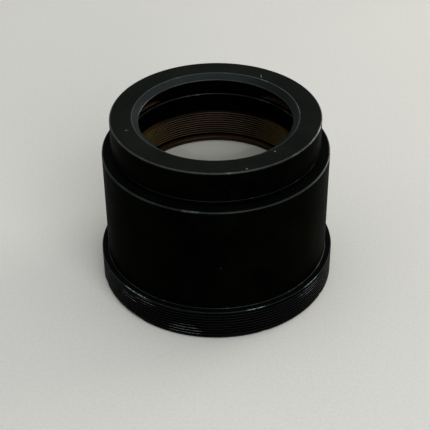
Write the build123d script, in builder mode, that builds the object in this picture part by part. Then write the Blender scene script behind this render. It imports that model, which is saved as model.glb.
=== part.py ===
"""Barlow lens unit: a black turned barrel with an M54 x 0.75 male thread at its foot and a screwed-on neck.

The origin is the centre of the bottom face and +Z runs along the optical axis towards the neck.
Threads are drawn as rings of V grooves at the real pitch, and mating threads stand clear of each other.
"""
from build123d import *
import os
from math import sqrt

os.makedirs("parts", exist_ok=True)

# Outer shape
total_height = 41.85
base_r = 27.0            # crest of the M54 x 0.75 male thread
base_height = 7.63
barrel_r = 25.5
shoulder_z = 33.54
neck_r = 23.37
edge = 0.2               # small chamfer on turned edges
base_edge = 0.15         # the same on the thread's upper end

# Threads
pitch = 0.75
crest_flat = 0.12
thread_depth = 0.44
base_first_groove_z = 1.15
base_groove_count = 9
neck_first_groove_z = 29.3
neck_groove_count = 5
cell_pitch = 0.6         # fine thread of the retaining ring
cell_thread_depth = 0.33

# Running gaps
gap = 0.02               # between flat faces of pieces that unscrew from each other
clearance = 0.1          # radial, between a male crest and the female crest around it

# Foot recess: female M48 x 0.75 filter thread
filter_r = 23.6
filter_depth = 3.2
filter_first_groove_z = 0.85
filter_groove_count = 3
filter_chamfer = 0.4

# Glare stop under the lens and its lock ring
lock_thread_r = 20.4     # female crest of the lock ring's thread
lock_first_groove_z = 4.0
lock_groove_count = 2
lock_ring_z = 3.7
lock_ring_bore_r = 17.5
lock_ring_groove_height = 0.7
stop_z = 5.1
stop_thickness = 0.8
stop_aperture_r = 15.0
stop_lip = 0.25
ledge_z = 5.9
ledge_top_z = 7.2
ledge_r = 18.0

# Cell that holds the glass
cell_bore_r = 21.5       # bore of the barrel around the cell
cell_r = 21.4
cell_shim_thickness = 0.3
cell_step_z = 28.2
cell_top_r = 20.8
cell_top_z = 35.75
cell_lip_r = 16.8
cell_lip_height = 1.5
glass_bore_r = 18.7
cell_thread_r = 19.0      # female crest of the retaining ring's fine thread
cell_thread_z = 23.55
cell_first_groove_z = 24.14
cell_groove_count = 12
cell_mouth_r = 19.6
cell_mouth_z = 31.1

# Glass
glass_r = 18.6
seat_thickness = 0.3
seat_clearance = 0.05    # radial, around the soft seat
crown_top_z = 23.5
crown_rim_r = 18.1        # where the concave face starts
crown_top_radius = 34.7
crown_centre = 2.8
cemented_radius = 70.0   # lower face of the crown and upper face of the flint
air_space = 0.2
spacer_inner_r = 17.75
spacer_outer_r = 18.45

# Retaining ring over the glass
slip_thickness = 0.25
slip_inner_r = 18.1
slip_outer_r = 18.55
ring_r = 18.9
ring_bore_r = 17.9
ring_top_z = 24.7
slot_width = 1.6
slot_depth = 0.5

# Neck
neck_female_r = 22.55    # female crest in the barrel, M46 x 0.75
neck_thread_z = 28.4
neck_ring_height = 1.05
neck_ring_r = 23.2
spigot_r = 22.45
spigot_bore_r = 21.0
spigot_bottom_z = 28.9
neck_seat_z = 35.85
neck_bore_r = 20.2
lip_z = 40.2
mouth_r = 17.05
mouth_z = 40.74
mouth_chamfer_r = 18.46


def vee_grooves(face_r, root_r, first_z, count, step=pitch):
    """Corner points (r, z), from the bottom up, of V grooves turned into a face at face_r."""
    half_mouth = (step - crest_flat) / 2
    half_root = crest_flat / 2
    points = []
    for turn in range(count):
        z = first_z + turn * step
        points += [(face_r, z - half_mouth), (root_r, z - half_root)]
        points += [(root_r, z + half_root), (face_r, z + half_mouth)]
    return points


def downwards(points):
    """The same outline points, from the top down."""
    return list(reversed(points))


def sagitta(curve_r, r):
    """Depth of a spherical face of radius curve_r between its axis and the radius r."""
    return curve_r - sqrt(curve_r**2 - r**2)


# Heights that follow from the driving dimensions
cell_z = ledge_top_z + cell_shim_thickness
seat_z = cell_z + cell_lip_height
flint_z = seat_z + seat_thickness
crown_vertex_z = crown_top_z - sagitta(crown_top_radius, crown_rim_r)
crown_lower_vertex_z = crown_vertex_z - crown_centre
flint_vertex_z = crown_lower_vertex_z - air_space
slip_z = crown_top_z + gap
ring_z = slip_z + slip_thickness + gap
neck_ring_z = shoulder_z + gap
neck_z = neck_ring_z + neck_ring_height + gap


def lower_crown_z(r):
    return crown_lower_vertex_z - sagitta(cemented_radius, r)


def upper_flint_z(r):
    return flint_vertex_z - sagitta(cemented_radius, r)


# Barrel: male thread at the foot, plain body, female threads for the filter, the lock ring and the neck
with BuildPart() as barrel_body:
    with BuildSketch(Plane.XZ):
        with BuildLine():
            foot = [(base_r - thread_depth, 0)]
            male = vee_grooves(base_r, base_r - thread_depth, base_first_groove_z, base_groove_count)
            rim = [(base_r, base_height - base_edge), (base_r - base_edge, base_height)]
            rim += [(barrel_r, base_height)]
            body = [(barrel_r, shoulder_z - edge), (barrel_r - edge, shoulder_z)]
            neck_mouth = [(neck_female_r + thread_depth, shoulder_z)]
            grooves = (neck_first_groove_z, neck_groove_count)
            neck_thread = downwards(vee_grooves(neck_female_r, neck_female_r + thread_depth, *grooves))
            cell_bore = [(neck_female_r, neck_thread_z), (cell_bore_r, neck_thread_z)]
            ledge = [(cell_bore_r, ledge_top_z), (ledge_r, ledge_top_z), (ledge_r, ledge_z)]
            lock_bore = [(lock_thread_r, ledge_z)]
            grooves = (lock_first_groove_z, lock_groove_count)
            lock_thread = downwards(vee_grooves(lock_thread_r, lock_thread_r + thread_depth, *grooves))
            recess = [(lock_thread_r, filter_depth), (filter_r, filter_depth)]
            grooves = (filter_first_groove_z, filter_groove_count)
            filter_thread = downwards(vee_grooves(filter_r, filter_r + thread_depth, *grooves))
            filter_mouth = [(filter_r, filter_chamfer), (filter_r + filter_chamfer, 0)]
            Polyline(
                *foot, *male, *rim, *body, *neck_mouth, *neck_thread, *cell_bore, *ledge,
                *lock_bore, *lock_thread, *recess, *filter_thread, *filter_mouth, close=True,
            )
        make_face()
    revolve(axis=Axis.Z)
barrel_body.part.label = "barrel_body"
export_step(barrel_body.part, "parts/barrel_body.step")


# Glare stop: a disc with a thin-edged aperture
with BuildPart() as glare_stop:
    with BuildSketch(Plane.XZ):
        with BuildLine():
            Polyline(
                (lock_thread_r - clearance, stop_z + gap),
                (lock_thread_r - clearance, stop_z + stop_thickness - gap),
                (stop_aperture_r, stop_z + stop_thickness - gap),
                (stop_aperture_r, stop_z + stop_thickness - stop_lip),
                (stop_aperture_r + stop_thickness, stop_z + gap),
                close=True,
            )
        make_face()
    revolve(axis=Axis.Z)
glare_stop.part.label = "glare_stop"
export_step(glare_stop.part, "parts/glare_stop.step")


# Lock ring under the glare stop, with two spanner slots in its lower face
with BuildPart() as stop_lock_ring:
    with BuildSketch(Plane.XZ):
        with BuildLine():
            crest_r = lock_thread_r - clearance
            thread = vee_grooves(crest_r, crest_r - thread_depth, lock_ring_z + lock_ring_groove_height, 1)
            Polyline(
                (crest_r, lock_ring_z), *thread, (crest_r, stop_z),
                (lock_ring_bore_r, stop_z), (lock_ring_bore_r, lock_ring_z), close=True,
            )
        make_face()
    revolve(axis=Axis.Z)
    with Locations((0, lock_thread_r, lock_ring_z), (0, -lock_thread_r, lock_ring_z)):
        Box(slot_width, 2 * (lock_thread_r - lock_ring_bore_r) + 1, 2 * slot_depth, mode=Mode.SUBTRACT)
stop_lock_ring.part.label = "stop_lock_ring"
export_step(stop_lock_ring.part, "parts/stop_lock_ring.step")


# Spacing shim between the barrel's ledge and the cell
with BuildPart() as cell_shim:
    with BuildSketch(Plane.XY.offset(ledge_top_z)):
        Circle(cell_r - clearance)
        Circle(ledge_r + clearance, mode=Mode.SUBTRACT)
    extrude(amount=cell_shim_thickness)
cell_shim.part.label = "cell_shim"
export_step(cell_shim.part, "parts/cell_shim.step")


# Lens cell: a sleeve with a lip under the glass and a long female thread over it
with BuildPart() as lens_cell:
    with BuildSketch(Plane.XZ):
        with BuildLine():
            root_r = cell_thread_r + cell_thread_depth
            outside = [(cell_r, cell_z), (cell_r, cell_step_z), (cell_top_r, cell_step_z)]
            crown = [(cell_top_r, cell_top_z), (cell_mouth_r + edge, cell_top_z)]
            mouth = [(cell_mouth_r, cell_top_z - edge), (cell_mouth_r, cell_mouth_z)]
            grooves = (cell_first_groove_z, cell_groove_count, cell_pitch)
            thread = downwards(vee_grooves(cell_thread_r, root_r, *grooves))
            bore = [(cell_thread_r, cell_thread_z), (glass_bore_r, cell_thread_z)]
            lip = [(glass_bore_r, seat_z), (cell_lip_r, seat_z), (cell_lip_r, cell_z)]
            Polyline(*outside, *crown, *mouth, *thread, *bore, *lip, close=True)
        make_face()
    revolve(axis=Axis.Z)
lens_cell.part.label = "lens_cell"
export_step(lens_cell.part, "parts/lens_cell.step")


# Soft seat under the glass
with BuildPart() as glass_seat:
    with BuildSketch(Plane.XY.offset(seat_z)):
        Circle(glass_r - seat_clearance)
        Circle(cell_lip_r + clearance, mode=Mode.SUBTRACT)
    extrude(amount=seat_thickness)
glass_seat.part.label = "glass_seat"
export_step(glass_seat.part, "parts/glass_seat.step")


# Flint element: flat below, convex above
with BuildPart() as flint_element:
    with BuildSketch(Plane.XZ):
        with BuildLine():
            Polyline(
                (0, flint_vertex_z), (0, flint_z), (glass_r - edge, flint_z),
                (glass_r, flint_z + edge), (glass_r, upper_flint_z(glass_r)),
            )
            ThreePointArc(
                (glass_r, upper_flint_z(glass_r)),
                (glass_r / 2, upper_flint_z(glass_r / 2)),
                (0, flint_vertex_z),
            )
        make_face()
    revolve(axis=Axis.Z)
flint_element.part.label = "flint_element"
export_step(flint_element.part, "parts/flint_element.step")


# Thin ring that keeps the air space between the two elements
with BuildPart() as element_spacer:
    with BuildSketch(Plane.XZ):
        with BuildLine():
            Polyline(
                (spacer_inner_r, lower_crown_z(spacer_inner_r) - gap / 2),
                (spacer_outer_r, lower_crown_z(spacer_outer_r) - gap / 2),
                (spacer_outer_r, upper_flint_z(spacer_outer_r) + gap / 2),
                (spacer_inner_r, upper_flint_z(spacer_inner_r) + gap / 2),
                close=True,
            )
        make_face()
    revolve(axis=Axis.Z)
element_spacer.part.label = "element_spacer"
export_step(element_spacer.part, "parts/element_spacer.step")


# Crown element: concave on both faces
with BuildPart() as crown_element:
    with BuildSketch(Plane.XZ):
        with BuildLine():
            ThreePointArc(
                (0, crown_vertex_z),
                (crown_rim_r / 2, crown_vertex_z + sagitta(crown_top_radius, crown_rim_r / 2)),
                (crown_rim_r, crown_top_z),
            )
            Polyline(
                (crown_rim_r, crown_top_z), (glass_r - edge, crown_top_z),
                (glass_r, crown_top_z - edge), (glass_r, lower_crown_z(glass_r)),
            )
            ThreePointArc(
                (glass_r, lower_crown_z(glass_r)),
                (glass_r / 2, lower_crown_z(glass_r / 2)),
                (0, crown_lower_vertex_z),
            )
            Line((0, crown_lower_vertex_z), (0, crown_vertex_z))
        make_face()
    revolve(axis=Axis.Z)
crown_element.part.label = "crown_element"
export_step(crown_element.part, "parts/crown_element.step")


# Slip ring between the glass and the retaining ring
with BuildPart() as slip_ring:
    with BuildSketch(Plane.XY.offset(slip_z)):
        Circle(slip_outer_r)
        Circle(slip_inner_r, mode=Mode.SUBTRACT)
    extrude(amount=slip_thickness)
slip_ring.part.label = "slip_ring"
export_step(slip_ring.part, "parts/slip_ring.step")


# Retaining ring, with two spanner slots in its upper face
with BuildPart() as retaining_ring:
    with BuildSketch(Plane.XZ):
        with BuildLine():
            middle_z = (ring_z + ring_top_z) / 2
            thread = vee_grooves(ring_r, ring_r - cell_thread_depth, middle_z, 1, cell_pitch)
            Polyline(
                (ring_r, ring_z), *thread, (ring_r, ring_top_z),
                (ring_bore_r + edge, ring_top_z), (ring_bore_r, ring_top_z - edge),
                (ring_bore_r, ring_z), close=True,
            )
        make_face()
    revolve(axis=Axis.Z)
    with Locations((ring_r, 0, ring_top_z), (-ring_r, 0, ring_top_z)):
        Box(2 * (ring_r - ring_bore_r) + 1, slot_width, 2 * slot_depth, mode=Mode.SUBTRACT)
retaining_ring.part.label = "retaining_ring"
export_step(retaining_ring.part, "parts/retaining_ring.step")


# Thin lock ring between the barrel's shoulder and the neck
with BuildPart() as neck_lock_ring:
    with BuildSketch(Plane.XY.offset(neck_ring_z)):
        Circle(neck_ring_r)
        Circle(neck_female_r, mode=Mode.SUBTRACT)
    extrude(amount=neck_ring_height)
neck_lock_ring.part.label = "neck_lock_ring"
export_step(neck_lock_ring.part, "parts/neck_lock_ring.step")


# Neck: threaded spigot, plain outside, wide bore under a chamfered mouth
with BuildPart() as neck_cap:
    with BuildSketch(Plane.XZ):
        with BuildLine():
            spigot_root_r = spigot_r - thread_depth
            spigot = [(spigot_bore_r, spigot_bottom_z), (spigot_root_r, spigot_bottom_z)]
            male = vee_grooves(spigot_r, spigot_root_r, spigot_bottom_z + pitch, neck_groove_count)
            outside = [(spigot_r, neck_z), (neck_r - edge, neck_z), (neck_r, neck_z + edge)]
            top = [(neck_r, total_height - edge), (neck_r - edge, total_height)]
            mouth = [(mouth_chamfer_r, total_height), (mouth_r, mouth_z), (mouth_r, lip_z)]
            bore = [(neck_bore_r, lip_z), (neck_bore_r, neck_seat_z), (spigot_bore_r, neck_seat_z)]
            Polyline(*spigot, *male, *outside, *top, *mouth, *bore, close=True)
        make_face()
    revolve(axis=Axis.Z)
neck_cap.part.label = "neck_cap"
export_step(neck_cap.part, "parts/neck_cap.step")
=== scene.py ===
"""Looks of the barlow lens unit: camera, studio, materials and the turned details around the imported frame."""
import math

import bmesh
import bpy
import numpy as np
from mathutils import Matrix, Vector


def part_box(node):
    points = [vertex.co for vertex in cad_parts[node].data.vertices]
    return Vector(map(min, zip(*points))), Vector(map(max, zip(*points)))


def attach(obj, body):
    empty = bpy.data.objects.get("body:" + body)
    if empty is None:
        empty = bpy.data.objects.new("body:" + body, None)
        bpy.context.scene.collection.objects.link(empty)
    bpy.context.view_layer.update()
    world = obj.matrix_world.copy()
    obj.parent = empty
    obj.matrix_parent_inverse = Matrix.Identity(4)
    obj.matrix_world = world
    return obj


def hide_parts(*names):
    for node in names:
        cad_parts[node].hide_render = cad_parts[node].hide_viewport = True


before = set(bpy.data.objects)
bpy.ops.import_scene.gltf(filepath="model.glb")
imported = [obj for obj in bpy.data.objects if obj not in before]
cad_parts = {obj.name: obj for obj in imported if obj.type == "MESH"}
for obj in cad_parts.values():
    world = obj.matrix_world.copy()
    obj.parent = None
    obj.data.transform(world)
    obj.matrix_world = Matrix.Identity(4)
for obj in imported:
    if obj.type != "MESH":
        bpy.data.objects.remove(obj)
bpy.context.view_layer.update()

MM = 0.001


# ---------------------------------------------------------------- sizes, in millimetres
def outer_r(node):
    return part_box(node)[1].x / MM


def foot(node):
    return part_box(node)[0].z / MM


def top(node):
    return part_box(node)[1].z / MM


BASE_R = outer_r("barrel_body")
TOTAL_HEIGHT = top("neck_cap")
SHOULDER_Z = top("barrel_body")
NECK_R = outer_r("neck_cap")
EDGE = 0.2
PITCH = 0.75
THREAD_DEPTH = 0.44

# Barrel
BASE_HEIGHT = 7.63
BASE_EDGE = 0.15
BASE_CHAMFER_Z = 0.835
BARREL_R = 25.5
NECK_FEMALE_R = 22.55
NECK_THREAD_Z = 28.4
CELL_BORE_R = 21.5
LEDGE_R = 18.0
LEDGE_TOP_Z = 7.2
LEDGE_Z = 5.9
LOCK_THREAD_R = 20.4
FILTER_R = 23.6
FILTER_DEPTH = 3.2
FILTER_CHAMFER = 0.4

# Cell
CELL_PITCH = 0.6
CELL_THREAD_DEPTH = 0.33
CELL_THREAD_R = 19.0
CELL_STEP_Z = 28.2
CELL_TOP_R = 20.8
CELL_MOUTH_R = 19.6
CELL_MOUTH_Z = 31.1
CELL_THREAD_Z = 23.55
CELL_DARK_Z = 25.2          # the thread is left black under this height
GLASS_BORE_R = 18.7
SEAT_Z = 9.0
LIP_R = 16.8

# Neck
SPIGOT_R = 22.45
SPIGOT_BORE_R = 21.0
NECK_BORE_R = 20.2
NECK_SEAT_Z = 35.85
NECK_FOOT_Z = SHOULDER_Z + 1.09
LIP_Z = 40.2
MOUTH_R = 17.05
MOUTH_Z = 40.74
MOUTH_CHAMFER_R = 18.46

# Glass and its ring
RING_BORE_R = 17.9
SLOT_DEPTH = 0.5
SLOT_HALF_WIDTH = 0.8
RING_SOFT = 0.05
CROWN_RIM_R = 18.1
CROWN_TOP_RADIUS = 34.7
FACING_RADIUS = 70.0        # the two glass faces on either side of the air space
GLASS_STEPS = 40


# ---------------------------------------------------------------- node helpers
class Nodes:
    """A material's node tree, with short calls for adding and linking nodes."""

    def __init__(self, name):
        self.material = bpy.data.materials.new(name)
        self.material.use_nodes = True
        self.tree = self.material.node_tree
        self.tree.nodes.clear()
        self.output = self.add("ShaderNodeOutputMaterial")

    def add(self, kind, **settings):
        node = self.tree.nodes.new(kind)
        for key, value in settings.items():
            setattr(node, key, value)
        return node

    def link(self, source, target):
        self.tree.links.new(source, target)

    def coords(self):
        return self.add("ShaderNodeTexCoord").outputs["Object"]

    def noise(self, vector, scale, detail=4.0, rough=0.55):
        node = self.add("ShaderNodeTexNoise")
        node.inputs["Scale"].default_value = scale
        node.inputs["Detail"].default_value = detail
        node.inputs["Roughness"].default_value = rough
        self.link(vector, node.inputs["Vector"])
        return node.outputs["Fac"]

    def stretched(self, vector, x, y, z):
        node = self.add("ShaderNodeMapping")
        node.inputs["Scale"].default_value = (x, y, z)
        self.link(vector, node.inputs["Vector"])
        return node.outputs["Vector"]

    def span(self, value, low, high, to_low=0.0, to_high=1.0):
        node = self.add("ShaderNodeMapRange")
        for name, number in (("From Min", low), ("From Max", high), ("To Min", to_low), ("To Max", to_high)):
            node.inputs[name].default_value = number
        self.link(value, node.inputs["Value"])
        return node.outputs["Result"]

    def math(self, operation, first, second):
        node = self.add("ShaderNodeMath", operation=operation)
        for socket, value in zip(node.inputs, (first, second)):
            if isinstance(value, (int, float)):
                socket.default_value = value
            else:
                self.link(value, socket)
        return node.outputs["Value"]

    def mix(self, factor, first, second):
        node = self.add("ShaderNodeMix", data_type="RGBA")
        for name, value in (("Factor", factor), ("A", first), ("B", second)):
            socket = next(s for s in node.inputs if s.name == name and s.enabled)
            if isinstance(value, tuple):
                socket.default_value = (*value, 1.0)
            else:
                self.link(value, socket)
        return next(s for s in node.outputs if s.enabled)

    def bump(self, height, strength, distance):
        node = self.add("ShaderNodeBump")
        node.inputs["Strength"].default_value = strength
        node.inputs["Distance"].default_value = distance
        self.link(height, node.inputs["Height"])
        return node.outputs["Normal"]

    def principled(self, **numbers):
        node = self.add("ShaderNodeBsdfPrincipled")
        for name, value in numbers.items():
            node.inputs[name.replace("_", " ")].default_value = value
        self.link(node.outputs["BSDF"], self.output.inputs["Surface"])
        return node


# ---------------------------------------------------------------- materials
MARK_GAIN = 4.0
GRAIN_DEPTH = 0.00003


def blotch(n, where, r, angle, z, size, turn=0.0, core=0.7):
    """1 in the core of an ellipsoid at (r, angle, z), and 0 outside it. Its size is radial, around and up."""
    a = math.radians(angle)
    node = n.add("ShaderNodeMapping", vector_type="TEXTURE")
    node.inputs["Location"].default_value = (r * MM * math.cos(a), r * MM * math.sin(a), z * MM)
    node.inputs["Rotation"].default_value = (0.0, 0.0, a + math.radians(turn))
    node.inputs["Scale"].default_value = tuple(s * MM for s in size)
    n.link(where, node.inputs["Vector"])
    length = n.add("ShaderNodeVectorMath", operation="LENGTH")
    n.link(node.outputs["Vector"], length.inputs[0])
    return n.span(length.outputs["Value"], 1.0, core)


def anodised(name, dark, light, wear_and_glint, roughness, specular, rub=0.0, marks=(), painted_light=()):
    """Black anodised aluminium: turning lines, cloudy tone, smudged gloss, dust specks, named marks and painted
    light.

    rub sets how much of the surface is rubbed through to the lighter colour, in patches. A mark is a small
    ragged spot, MARK_GAIN times as light as the wear colour: some marks are real wear, others are painted
    glints in place of light on the surface. A film is a soft, cloudy patch of painted light, given as its
    place and its colour: painted sheen where it is lighter than the surface, painted shade where darker.
    """
    n = Nodes(name)
    where = n.coords()
    cloud = n.noise(where, 95.0, 5.0, 0.6)
    smudge = n.noise(where, 380.0, 4.0, 0.65)
    turning = n.noise(n.stretched(where, 90.0, 90.0, 9000.0), 1.0, 2.0, 0.5)
    fine = n.noise(where, 1700.0, 3.0, 0.6)
    mottle = n.math("ADD", n.math("MULTIPLY", cloud, 0.6), n.math("MULTIPLY", fine, 0.4))
    colour = n.mix(n.span(mottle, 0.40, 0.62), dark, light)
    specks = n.span(n.noise(where, 1500.0, 1.0, 0.5), 0.80, 0.83)
    colour = n.mix(n.math("MULTIPLY", specks, 0.6), colour, wear_and_glint)
    if rub:
        worn_through = n.noise(n.stretched(where, 210.0, 210.0, 520.0), 1.0, 4.0, 0.65)
        patches = n.span(worn_through, 0.72 - 0.5 * rub, 0.82 - 0.4 * rub)
        colour = n.mix(patches, colour, wear_and_glint)
    # marks brighten small spots: some are real wear, some are painted glints
    for mark in marks:
        ragged = n.math("MULTIPLY", blotch(n, where, *mark), n.span(n.noise(where, 2600.0), 0.40, 0.52))
        colour = n.mix(ragged, colour, tuple(min(1.0, MARK_GAIN * c) for c in wear_and_glint))
    # films are painted light: soft patches of painted sheen and painted shade
    for place, tone in painted_light:
        cloudy = n.math("MULTIPLY", blotch(n, where, *place, core=0.0), n.span(mottle, 0.25, 0.60))
        colour = n.mix(cloudy, colour, tone)
    shader = n.principled(Specular_IOR_Level=specular)
    n.link(colour, shader.inputs["Base Color"])
    n.link(n.span(smudge, 0.3, 0.75, roughness - 0.06, roughness + 0.07), shader.inputs["Roughness"])
    height = n.math("ADD", n.math("MULTIPLY", turning, 0.6), n.math("MULTIPLY", n.noise(where, 5200.0), 0.4))
    n.link(n.bump(height, 0.25, GRAIN_DEPTH), shader.inputs["Normal"])
    return n.material


def plain_ring(name, colour, other, roughness, scale, metallic=0.0):
    """A small ring of one stuff, with mottling and fine grain."""
    n = Nodes(name)
    where = n.coords()
    shader = n.principled(Metallic=metallic)
    n.link(n.mix(n.span(n.noise(where, scale), 0.3, 0.7), colour, other), shader.inputs["Base Color"])
    gloss = n.span(n.noise(where, scale * 6.0), 0.3, 0.7, roughness - 0.08, roughness + 0.08)
    n.link(gloss, shader.inputs["Roughness"])
    n.link(n.bump(n.noise(where, scale * 20.0), 0.2, GRAIN_DEPTH), shader.inputs["Normal"])
    return n.material


def glass(name, tint, second_tint, clear):
    """Optical glass with faint smears in its gloss. Where clear is below 1, the rest is a pale diffuse veil:
    painted light, a grey glow in place of the light seen in the glass.
    """
    n = Nodes(name)
    where = n.coords()
    shader = n.principled(Transmission_Weight=clear, IOR=1.52, Specular_IOR_Level=0.3)
    n.link(n.mix(n.span(n.noise(where, 90.0, 5.0, 0.6), 0.3, 0.7), tint, second_tint), shader.inputs["Base Color"])
    n.link(n.span(n.noise(where, 260.0, 5.0, 0.6), 0.4, 0.75, 0.04, 0.09), shader.inputs["Roughness"])
    return n.material


def studio_floor(name):
    n = Nodes(name)
    where = n.coords()
    shader = n.principled(Roughness=0.8, Specular_IOR_Level=0.2)
    clouds = n.span(n.noise(where, 9.0, 3.0, 0.5), 0.3, 0.7)
    broad = n.mix(clouds, (0.482, 0.477, 0.458), (0.510, 0.505, 0.485))
    grain = n.span(n.noise(where, 1400.0, 2.0, 0.6), 0.62, 0.38, 0.0, 0.35)
    n.link(n.mix(grain, broad, (0.425, 0.420, 0.405)), shader.inputs["Base Color"])
    return n.material


WORN = (0.030, 0.035, 0.033)
BRASSY = (0.085, 0.050, 0.022)
DULL_BRASS = (0.0095, 0.0055, 0.0026)
OLIVE = (0.0085, 0.0055, 0.0012)
DUST = (0.0038, 0.0042, 0.0032)
TOP_MARKS = [
    (19.7, 57.0, TOTAL_HEIGHT, (0.9, 0.10, 0.6), 35.0),
    (22.5, -74.3, TOTAL_HEIGHT, (0.22, 0.22, 0.3)),
    (19.5, -51.5, TOTAL_HEIGHT, (0.28, 0.22, 0.3)),
    (20.2, -162.0, TOTAL_HEIGHT, (0.55, 0.09, 0.3)),
]
# bright spots on the foot thread crests: partly real wear (the worn crests and scratch on the left, the worn
# line at -40 degrees), partly painted highlight (the streak at -106 degrees stands for light reflected by the
# crest rows)
CREST_WEAR_AND_GLINTS = [
    (BASE_R, -142.0, 5.5, (0.8, 0.7, 0.6)),
    (BASE_R, -138.0, 5.2, (0.8, 3.2, 0.9)),
    (BASE_R, -127.0, 6.6, (0.8, 3.4, 0.9)),
    (BASE_R, -106.0, 2.0, (0.8, 4.5, 2.0)),
    (BASE_R, -40.0, 6.3, (0.8, 4.5, 1.5)),
]
FLANGE_MARKS = [
    (BASE_R, -133.0, BASE_HEIGHT, (0.8, 4.5, 0.8)),
    (BASE_R, -72.0, BASE_HEIGHT, (0.8, 2.4, 0.8)),
    (BASE_R, -38.0, BASE_HEIGHT, (0.8, 3.5, 0.8)),
]
BODY_MARKS = [
    (BARREL_R, -103.0, 31.1, (0.5, 0.15, 0.15)),
    (BARREL_R, -88.7, 18.9, (0.5, 0.17, 0.17)),
]
# painted light: bright olive spots and a soft brown sheen at the left and right ends of the cell thread, where
# light grazes the inner wall; the middle stays dark
CELL_PAINTED_GLINTS = [
    (CELL_THREAD_R, 30.0, 25.6, (2.0, 5.0, 2.5)),
    (CELL_THREAD_R, 152.0, 25.6, (2.0, 5.0, 2.5)),
]
CELL_PAINTED_SHEEN = [
    ((CELL_THREAD_R, 22.0, 26.5, (9.0, 14.0, 9.0)), (0.095, 0.058, 0.010)),
    ((CELL_THREAD_R, 158.0, 26.5, (9.0, 14.0, 9.0)), (0.048, 0.033, 0.007)),
]
# painted shade: a dark patch on the right side of the mouth chamfer, which faces away from the light from the
# right
CHAMFER_PAINTED_SHADE = [
    ((MOUTH_CHAMFER_R, 30.0, TOTAL_HEIGHT, (9.0, 17.0, 9.0)), (0.0004, 0.0005, 0.0005)),
]
# painted light: a soft lighter patch on the right side of the barrel body, where the light from the right falls
BODY_PAINTED_SHEEN = [
    ((BARREL_R, -2.0, 20.0, (14.0, 17.0, 24.0)), (0.0065, 0.0068, 0.0042)),
]
# painted light: thin brown bands at the back left and back right of the neck bore, above its seat, where light
# grazes the inner wall
NECK_BORE_PAINTED_SHEEN = [
    (NECK_BORE_R, 144.0, NECK_SEAT_Z, (1.5, 6.0, 1.1)),
    (NECK_BORE_R, 41.0, NECK_SEAT_Z, (1.5, 8.5, 1.4)),
]
BLACK = (0.0001, 0.0001, 0.0001)
# the body material carries the painted sheen on the right side of the barrel
BODY = anodised(
    "black_body", BLACK, (0.0009, 0.0010, 0.0006), DUST, 0.46, 0.0035, marks=BODY_MARKS, painted_light=BODY_PAINTED_SHEEN,
)
BORE = anodised("black_bore", BLACK, (0.0004, 0.0003, 0.0003), WORN, 0.60, 0.005)
FINISHES = {
    "body": BODY,
    "bore": BORE,
    "bore_crest": BORE,
    # the brown bore carries the painted light bands at its back left and back right
    "neck_bore": anodised(
        "brown_bore", BLACK, (0.0006, 0.0004, 0.0003), DULL_BRASS, 0.45, 0.02, marks=NECK_BORE_PAINTED_SHEEN,
    ),
    "top": anodised(
        "black_top", (0.0014, 0.0020, 0.0016), (0.0040, 0.0054, 0.0041), WORN, 0.46, 0.025, marks=TOP_MARKS,
    ),
    # painted shade: the shoulder and flange tops take a darker copy of the top finish, for the shade they lie
    # in beside the taller walls
    "ledge": anodised("black_ledge_painted_shade", (0.0004, 0.0007, 0.0006), (0.0012, 0.0018, 0.0016), DUST, 0.46, 0.010),
    # the chamfer carries the painted shade on its right side
    "chamfer": anodised(
        "black_chamfer", (0.0078, 0.0098, 0.0102), (0.0115, 0.0150, 0.0154), WORN, 0.40, 0.030,
        marks=TOP_MARKS, painted_light=CHAMFER_PAINTED_SHADE,
    ),
    # the edge finishes are partly rubbed anodising and partly painted highlight: their even lighter colour
    # draws the bright lines that light makes on the rounded edges; dim_edge and flange_edge are dimmer copies
    # for the lower edges
    "edge": anodised(
        "worn_edge_painted_highlight", (0.010, 0.013, 0.012), (0.022, 0.027, 0.025), (0.07, 0.08, 0.075), 0.35, 0.15, rub=0.35,
    ),
    "dim_edge": anodised(
        "dim_edge", (0.0030, 0.0044, 0.0042), (0.0110, 0.0150, 0.0140), (0.045, 0.055, 0.052), 0.38, 0.08,
        rub=0.3,
    ),
    "flange_edge": anodised(
        "flange_edge", (0.0030, 0.0044, 0.0042), (0.0115, 0.0155, 0.0145), (0.030, 0.042, 0.038), 0.38, 0.02,
        rub=0.3, marks=FLANGE_MARKS,
    ),
    "thread": anodised("black_thread", BLACK, (0.0005, 0.0005, 0.0005), DUST, 0.34, 0.008),
    # the foot thread's crests carry the worn spots and the painted highlight streak
    "thread_crest": anodised(
        "thread_crest", (0.0030, 0.0032, 0.0032), (0.0090, 0.0096, 0.0100), (0.024, 0.028, 0.031), 0.30, 0.06,
        rub=0.1, marks=CREST_WEAR_AND_GLINTS,
    ),
    # the brown cell thread carries the painted glints and sheen at its left and right ends
    "cell_thread": anodised(
        "brown_thread", (0.0022, 0.0011, 0.0006), (0.0055, 0.0030, 0.0013), OLIVE, 0.38, 0.03,
        marks=CELL_PAINTED_GLINTS, painted_light=CELL_PAINTED_SHEEN,
    ),
    "cell_thread_crest": anodised(
        "brown_crest", (0.060, 0.042, 0.024), (0.105, 0.080, 0.052), BRASSY, 0.34, 0.12,
    ),
    "rim": anodised("brown_rim", (0.010, 0.0050, 0.0010), (0.020, 0.0105, 0.0022), BRASSY, 0.35, 0.06),
    # painted light: half of the crown's surface is a pale diffuse veil, a grey glow in place of the light seen
    # in the glass
    "crown": glass("glass_with_painted_light", (0.535, 0.535, 0.480), (0.575, 0.575, 0.520), 0.5),
    "flint": glass("clear_glass", (0.96, 0.98, 0.96), (0.98, 1.0, 0.98), 1.0),
    "ground": plain_ring("blackened_glass_edge", (0.004, 0.004, 0.004), (0.010, 0.010, 0.010), 0.6, 500.0),
}


# ---------------------------------------------------------------- turned pieces
COLUMNS = 480
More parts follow.
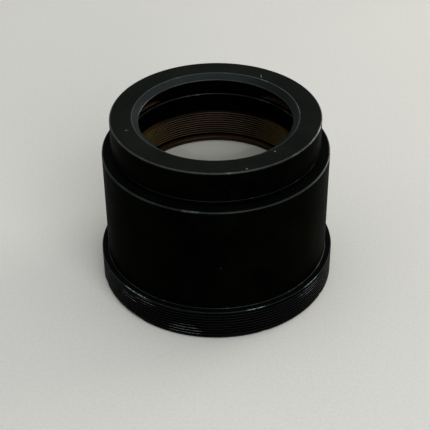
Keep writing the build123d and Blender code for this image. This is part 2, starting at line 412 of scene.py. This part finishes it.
# corners are rounded into edge finishes, which carry painted highlight lines as well as edge wear
ROUNDED = {
    "body": "dim_edge",
    "ledge": "dim_edge",
    "dim_edge": "dim_edge",
    "top": "edge",
    "edge": "edge",
    "chamfer": "edge",
}
THREAD_FLAT = 0.08
NICKED_DEPTH = 1.0
SHARP = math.radians(38.0)
MERGE_DISTANCE = 1e-7


class Outline:
    """A closed outline (r, z), drawn wall by wall. A wall has a finish, and may carry a helical thread."""

    def __init__(self, r, z):
        self.points = [(r, z)]
        self.walls = []

    def to(self, r, z, finish, thread=None):
        """Adds a wall up to (r, z). thread is (pitch, root radius) on a wall of one radius."""
        self.points.append((r, z))
        self.walls.append((finish, thread))
        return self

    def close(self, finish):
        return self.to(*self.points[0], finish)

    def softened(self, radius):
        """The same outline with each corner rounded off by three short walls, finished as an edge."""
        corners = self.points[:-1]
        count = len(corners)
        parts = []
        for i, (r, z) in enumerate(corners):
            here = Vector((r, z))
            back = Vector(corners[i - 1]) - here
            ahead = Vector(corners[(i + 1) % count]) - here
            cut = min(radius, 0.35 * back.length, 0.35 * ahead.length)
            if r == 0.0 or back.angle(ahead) > math.pi - SHARP:
                parts.append([here])
                continue
            start = here + back.normalized() * cut
            end = here + ahead.normalized() * cut
            curve = []
            for t in (0.0, 1 / 3, 2 / 3, 1.0):
                curve.append(start * (1 - t) ** 2 + here * 2 * t * (1 - t) + end * t**2)
            parts.append(curve)
        soft = Outline(*parts[0][-1])
        for i, (finish, thread) in enumerate(self.walls):
            curve = parts[(i + 1) % count]
            soft.to(*curve[0], finish, thread)
            for point in curve[1:]:
                soft.to(*point, ROUNDED.get(finish, finish))
        return soft


def thread_rows(start, end, thread, share):
    """Rows of a helical V thread between two points of one radius, for each share of a full turn."""
    pitch, root = thread
    low, high = sorted((start[1], end[1]))
    flat = THREAD_FLAT
    rows = []
    for turn in range(-1, math.ceil((high - low) / pitch) + 1):
        for phase, depth in ((flat, 0.0), (0.5 - flat, 1.0), (0.5 + flat, 1.0), (1.0 - flat, 0.0)):
            z = np.clip(low + (turn + phase + share) * pitch, low, high)
            fade = np.clip(np.minimum(z - low, high - z) / (0.5 * pitch), 0.0, 1.0)
            rows.append((start[0] + (root - start[0]) * depth * fade, z, depth))
    return rows if start[1] < end[1] else rows[::-1]


def turned(name, outline, body, replaced, finishes, soft=0.12, nicks=(), notches=()):
    """Turns an outline into a mesh that stands for a CAD node, rides on its body and takes a finish per wall.

    A nick is (angle, z, size, depth) in the outermost wall. A notch is (angle, half width, lowest z of the
    cut) in the top face.
    """
    outline = outline.softened(soft)
    share = np.linspace(0.0, 1.0, COLUMNS + 1)
    rows, strips = [], []
    for (start, end), (finish, thread) in zip(zip(outline.points, outline.points[1:]), outline.walls):
        wall = [(np.full_like(share, start[0]), np.full_like(share, start[1]), 0.0)]
        if thread:
            wall += thread_rows(start, end, thread, share)
        for (_, _, depth), (_, _, next_depth) in zip(wall, wall[1:] + wall[:1]):
            crest = thread and depth == next_depth == 0.0
            strips.append(finish + "_crest" if crest else finish)
        rows += [(r, z) for r, z, _ in wall]
    radius = np.array([r for r, _ in rows])
    height = np.array([z for _, z in rows])
    angle = np.broadcast_to(share * math.tau, radius.shape)
    nicked_r = max(r for r, _ in outline.points) - NICKED_DEPTH
    for nick_angle, z, size, depth in nicks:
        turn_by = (angle - math.radians(nick_angle) + math.pi) % math.tau - math.pi
        away = np.hypot(turn_by * radius, height - z) / size
        hit = (radius > nicked_r) * np.clip(1.0 - away**2, 0.0, 1.0)
        radius = radius - depth * hit
    for notch_angle, half_width, cut_z in notches:
        turn_by = (angle - math.radians(notch_angle) + math.pi) % math.tau - math.pi
        height = np.where(np.abs(turn_by) * radius < half_width, np.minimum(height, cut_z), height)
    points = np.stack((radius * np.cos(angle), radius * np.sin(angle), height), axis=-1) * MM
    used = sorted(set(strips))
    count, across = len(rows), COLUMNS + 1
    faces, kinds = [], []
    for i, finish in enumerate(strips):
        this_row = i * across
        next_row = (i + 1) % count * across
        for j in range(COLUMNS):
            faces.append((this_row + j, this_row + j + 1, next_row + j + 1, next_row + j))
        kinds += [used.index(finish)] * COLUMNS
    mesh = bpy.data.meshes.new(name)
    mesh.from_pydata(points.reshape(-1, 3).tolist(), [], faces)
    mesh.polygons.foreach_set("material_index", kinds)
    work = bmesh.new()
    work.from_mesh(mesh)
    bmesh.ops.remove_doubles(work, verts=work.verts, dist=MERGE_DISTANCE)
    bmesh.ops.recalc_face_normals(work, faces=work.faces)
    work.to_mesh(mesh)
    work.free()
    mesh.shade_smooth()
    mesh.set_sharp_from_angle(angle=SHARP)
    for finish in used:
        mesh.materials.append(finishes[finish])
    piece = bpy.data.objects.new(name, mesh)
    bpy.context.scene.collection.objects.link(piece)
    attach(piece, body)
    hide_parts(replaced)
    return piece


# ---------------------------------------------------------------- camera
SENSOR = 36.0
LENS = 95.0065
ELEVATION = math.radians(36.258)
AZIMUTH = math.radians(0.364)
ROLL = math.radians(-0.555)
DISTANCE = 265.06 * MM
AIM = Vector((-0.349, 0.0, 14.378)) * MM


def make_camera():
    data = bpy.data.cameras.new("camera")
    camera = bpy.data.objects.new("camera", data)
    bpy.context.scene.collection.objects.link(camera)
    data.sensor_width = SENSOR
    data.lens = LENS
    data.clip_start = 0.01
    data.clip_end = 20.0
    away = Vector((
        -math.sin(AZIMUTH) * math.cos(ELEVATION),
        -math.cos(AZIMUTH) * math.cos(ELEVATION),
        math.sin(ELEVATION),
    ))
    camera.location = AIM + away * DISTANCE
    right = (-away).cross(Vector((0, 0, 1))).normalized()
    up = right.cross(-away)
    turned_right = math.cos(ROLL) * right + math.sin(ROLL) * up
    turned_up = math.cos(ROLL) * up - math.sin(ROLL) * right
    axes = Matrix((turned_right, turned_up, away)).transposed()
    camera.rotation_euler = axes.to_euler()
    bpy.context.scene.camera = camera


# ---------------------------------------------------------------- studio
FLOOR_HALF = 3.0
WHITE = (1.0, 1.0, 1.0)


def add_light(name, place, aim, width, height, watts, colour):
    data = bpy.data.lights.new(name, "AREA")
    data.shape = "RECTANGLE"
    data.size = width
    data.size_y = height
    data.energy = watts
    data.color = colour
    lamp = bpy.data.objects.new(name, data)
    lamp.location = place
    lamp.rotation_euler = (Vector(aim) - Vector(place)).to_track_quat("-Z", "Y").to_euler()
    bpy.context.scene.collection.objects.link(lamp)


def make_studio():
    scene = bpy.context.scene
    scene.view_settings.view_transform = "Standard"
    mesh = bpy.data.meshes.new("floor")
    corners = [(x * FLOOR_HALF, y * FLOOR_HALF, 0) for x, y in ((-1, -1), (1, -1), (1, 1), (-1, 1))]
    mesh.from_pydata(corners, [], [(0, 1, 2, 3)])
    floor = bpy.data.objects.new("floor", mesh)
    scene.collection.objects.link(floor)
    mesh.materials.append(studio_floor("floor_paper"))
    world = bpy.data.worlds.new("world")
    scene.world = world
    world.use_nodes = True
    background = world.node_tree.nodes["Background"]
    background.inputs["Color"].default_value = (0.98, 1.0, 0.98, 1.0)
    background.inputs["Strength"].default_value = 0.30
    add_light("softbox_top", (0.0, 0.15, 0.62), (0, 0.15, 0.0), 1.5, 1.3, 5.5, WHITE)
    add_light("softbox_key", (0.31, -0.72, 0.60), (0, 0, 0.02), 0.6, 0.6, 6.5, WHITE)
    add_light("strip_right_back", (0.45, 0.25, 0.10), (0, 0, 0.02), 0.3, 0.14, 2.2, (1.0, 1.0, 0.85))


# ---------------------------------------------------------------- pieces
FOOT_NICKS = [
    (-28.0, 1.0, 0.8, 0.22),
    (-67.4, 0.5, 0.7, 0.20),
    (-129.7, 1.0, 0.8, 0.22),
    (-142.0, 5.5, 0.9, 0.12),
]
# the foot's lowest crest is cut back on the left, read as the start of the thread
FOOT_NICKS += [(angle, -1.8, 3.4, 0.34) for angle in range(-163, -134, 7)]


def barrel_outline():
    female_root = NECK_FEMALE_R + THREAD_DEPTH
    outline = Outline(BASE_R - THREAD_DEPTH, 0.0)
    outline.to(BASE_R, BASE_CHAMFER_Z, "thread")
    outline.to(BASE_R, BASE_HEIGHT - BASE_EDGE, "thread", (PITCH, BASE_R - THREAD_DEPTH))
    outline.to(BASE_R - BASE_EDGE, BASE_HEIGHT, "flange_edge")
    outline.to(BARREL_R, BASE_HEIGHT, "ledge")
    outline.to(BARREL_R, SHOULDER_Z - EDGE, "body")
    outline.to(BARREL_R - EDGE, SHOULDER_Z, "dim_edge")
    outline.to(female_root, SHOULDER_Z, "ledge")
    outline.to(NECK_FEMALE_R, SHOULDER_Z - THREAD_DEPTH, "bore")
    outline.to(NECK_FEMALE_R, NECK_THREAD_Z, "bore", (PITCH, female_root))
    outline.to(CELL_BORE_R, NECK_THREAD_Z, "bore")
    outline.to(CELL_BORE_R, LEDGE_TOP_Z, "bore")
    outline.to(LEDGE_R, LEDGE_TOP_Z, "bore")
    outline.to(LEDGE_R, LEDGE_Z, "bore")
    outline.to(LOCK_THREAD_R, LEDGE_Z, "bore")
    outline.to(LOCK_THREAD_R, FILTER_DEPTH, "bore", (PITCH, LOCK_THREAD_R + THREAD_DEPTH))
    outline.to(FILTER_R, FILTER_DEPTH, "bore")
    outline.to(FILTER_R, FILTER_CHAMFER, "bore", (PITCH, FILTER_R + THREAD_DEPTH))
    outline.to(FILTER_R + FILTER_CHAMFER, 0.0, "edge")
    return outline.close("top")


def cell_outline():
    foot_z, top_z = foot("lens_cell"), top("lens_cell")
    cell_r, thread_root = outer_r("lens_cell"), CELL_THREAD_R + CELL_THREAD_DEPTH
    outline = Outline(cell_r, foot_z)
    outline.to(cell_r, CELL_STEP_Z, "bore")
    outline.to(CELL_TOP_R, CELL_STEP_Z, "bore")
    outline.to(CELL_TOP_R, top_z, "bore")
    outline.to(CELL_MOUTH_R + EDGE, top_z, "bore")
    outline.to(CELL_MOUTH_R, top_z - EDGE, "dim_edge")
    outline.to(CELL_MOUTH_R, CELL_MOUTH_Z, "bore")
    outline.to(CELL_THREAD_R, CELL_MOUTH_Z - EDGE, "cell_thread")
    outline.to(CELL_THREAD_R, CELL_DARK_Z, "cell_thread", (CELL_PITCH, thread_root))
    outline.to(CELL_THREAD_R, CELL_THREAD_Z, "bore", (CELL_PITCH, thread_root))
    outline.to(GLASS_BORE_R, CELL_THREAD_Z, "bore")
    outline.to(GLASS_BORE_R, SEAT_Z, "bore")
    outline.to(LIP_R, SEAT_Z, "bore")
    outline.to(LIP_R, foot_z, "bore")
    return outline.close("bore")


def neck_outline():
    foot_z, root = foot("neck_cap"), SPIGOT_R - THREAD_DEPTH
    outline = Outline(SPIGOT_BORE_R, foot_z)
    outline.to(root, foot_z, "bore")
    outline.to(SPIGOT_R, foot_z + THREAD_DEPTH, "thread")
    outline.to(SPIGOT_R, NECK_FOOT_Z, "thread", (PITCH, root))
    outline.to(NECK_R - EDGE, NECK_FOOT_Z, "body")
    outline.to(NECK_R, NECK_FOOT_Z + EDGE, "edge")
    outline.to(NECK_R, TOTAL_HEIGHT - EDGE, "body")
    outline.to(NECK_R - EDGE, TOTAL_HEIGHT, "edge")
    outline.to(MOUTH_CHAMFER_R, TOTAL_HEIGHT, "top")
    outline.to(MOUTH_R, MOUTH_Z, "chamfer")
    outline.to(MOUTH_R, LIP_Z, "bore")
    outline.to(NECK_BORE_R, LIP_Z, "bore")
    outline.to(NECK_BORE_R, NECK_SEAT_Z, "neck_bore")
    outline.to(SPIGOT_BORE_R, NECK_SEAT_Z, "bore")
    return outline.close("bore")


def retainer_outline():
    low, high, outer = foot("retaining_ring"), top("retaining_ring"), outer_r("retaining_ring")
    outline = Outline(RING_BORE_R, low)
    outline.to(outer, low, "bore")
    outline.to(outer, high, "bore", (CELL_PITCH, outer - CELL_THREAD_DEPTH))
    outline.to(RING_BORE_R + EDGE, high, "rim")
    outline.to(RING_BORE_R, high - EDGE, "rim")
    return outline.close("rim")


def sagitta(radius, r):
    """Depth of a spherical face between its axis and r."""
    return radius - math.sqrt(radius**2 - r**2)


def spherical(outline, radius, vertex_z, start_r, end_r, finish):
    """Adds a spherical face from start_r to end_r, rising away from its vertex, or falling if radius < 0."""
    for step in range(1, GLASS_STEPS + 1):
        r = start_r + (end_r - start_r) * step / GLASS_STEPS
        outline.to(r, vertex_z + math.copysign(sagitta(abs(radius), r), radius), finish)
    return outline


def crown_outline():
    glass_r, rim_z, low = outer_r("crown_element"), top("crown_element"), foot("crown_element")
    upper_vertex = rim_z - sagitta(CROWN_TOP_RADIUS, CROWN_RIM_R)
    lower_vertex = low + sagitta(FACING_RADIUS, glass_r)
    outline = Outline(glass_r, low)
    outline.to(glass_r, rim_z - EDGE, "ground")
    outline.to(glass_r - EDGE, rim_z, "ground")
    outline.to(CROWN_RIM_R, rim_z, "ground")
    spherical(outline, CROWN_TOP_RADIUS, upper_vertex, CROWN_RIM_R, 0.0, "crown")
    outline.to(0.0, lower_vertex, "crown")
    return spherical(outline, -FACING_RADIUS, lower_vertex, 0.0, glass_r, "crown")


def flint_outline():
    glass_r, low, vertex = outer_r("flint_element"), foot("flint_element"), top("flint_element")
    outline = Outline(0.0, vertex)
    outline.to(0.0, low, "flint")
    outline.to(glass_r - EDGE, low, "flint")
    outline.to(glass_r, low + EDGE, "ground")
    outline.to(glass_r, vertex - sagitta(FACING_RADIUS, glass_r), "ground")
    return spherical(outline, -FACING_RADIUS, vertex, glass_r, 0.0, "flint")


def paint(node, material):
    """Puts one material on a CAD node's own object."""
    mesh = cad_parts[node].data
    mesh.materials.clear()
    mesh.materials.append(material)


make_camera()
make_studio()
turned("barrel_turned", barrel_outline(), "barrel", "barrel_body", FINISHES, nicks=FOOT_NICKS)
turned("cell_turned", cell_outline(), "barrel", "lens_cell", FINISHES)
turned("neck_turned", neck_outline(), "neck", "neck_cap", FINISHES)
turned("crown_turned", crown_outline(), "barrel", "crown_element", FINISHES)
turned("flint_turned", flint_outline(), "barrel", "flint_element", FINISHES)
SLOT_Z = top("retaining_ring") - SLOT_DEPTH
SPANNER_SLOTS = [(angle, SLOT_HALF_WIDTH, SLOT_Z) for angle in (0.0, 180.0)]
turned(
    "retainer_turned", retainer_outline(), "retainer", "retaining_ring", FINISHES,
    soft=RING_SOFT, notches=SPANNER_SLOTS,
)
paint("neck_lock_ring", FINISHES["body"])
paint("glare_stop", FINISHES["bore"])
paint("stop_lock_ring", FINISHES["top"])
paint("cell_shim", plain_ring("brass", (0.48, 0.34, 0.12), (0.55, 0.42, 0.2), 0.35, 300.0, 1.0))
paint("glass_seat", plain_ring("rubber", (0.012, 0.012, 0.012), (0.02, 0.02, 0.02), 0.7, 400.0))
PLASTIC = plain_ring("slip_plastic", (0.015, 0.014, 0.013), (0.025, 0.022, 0.02), 0.5, 400.0)
paint("slip_ring", PLASTIC)
paint("element_spacer", PLASTIC)
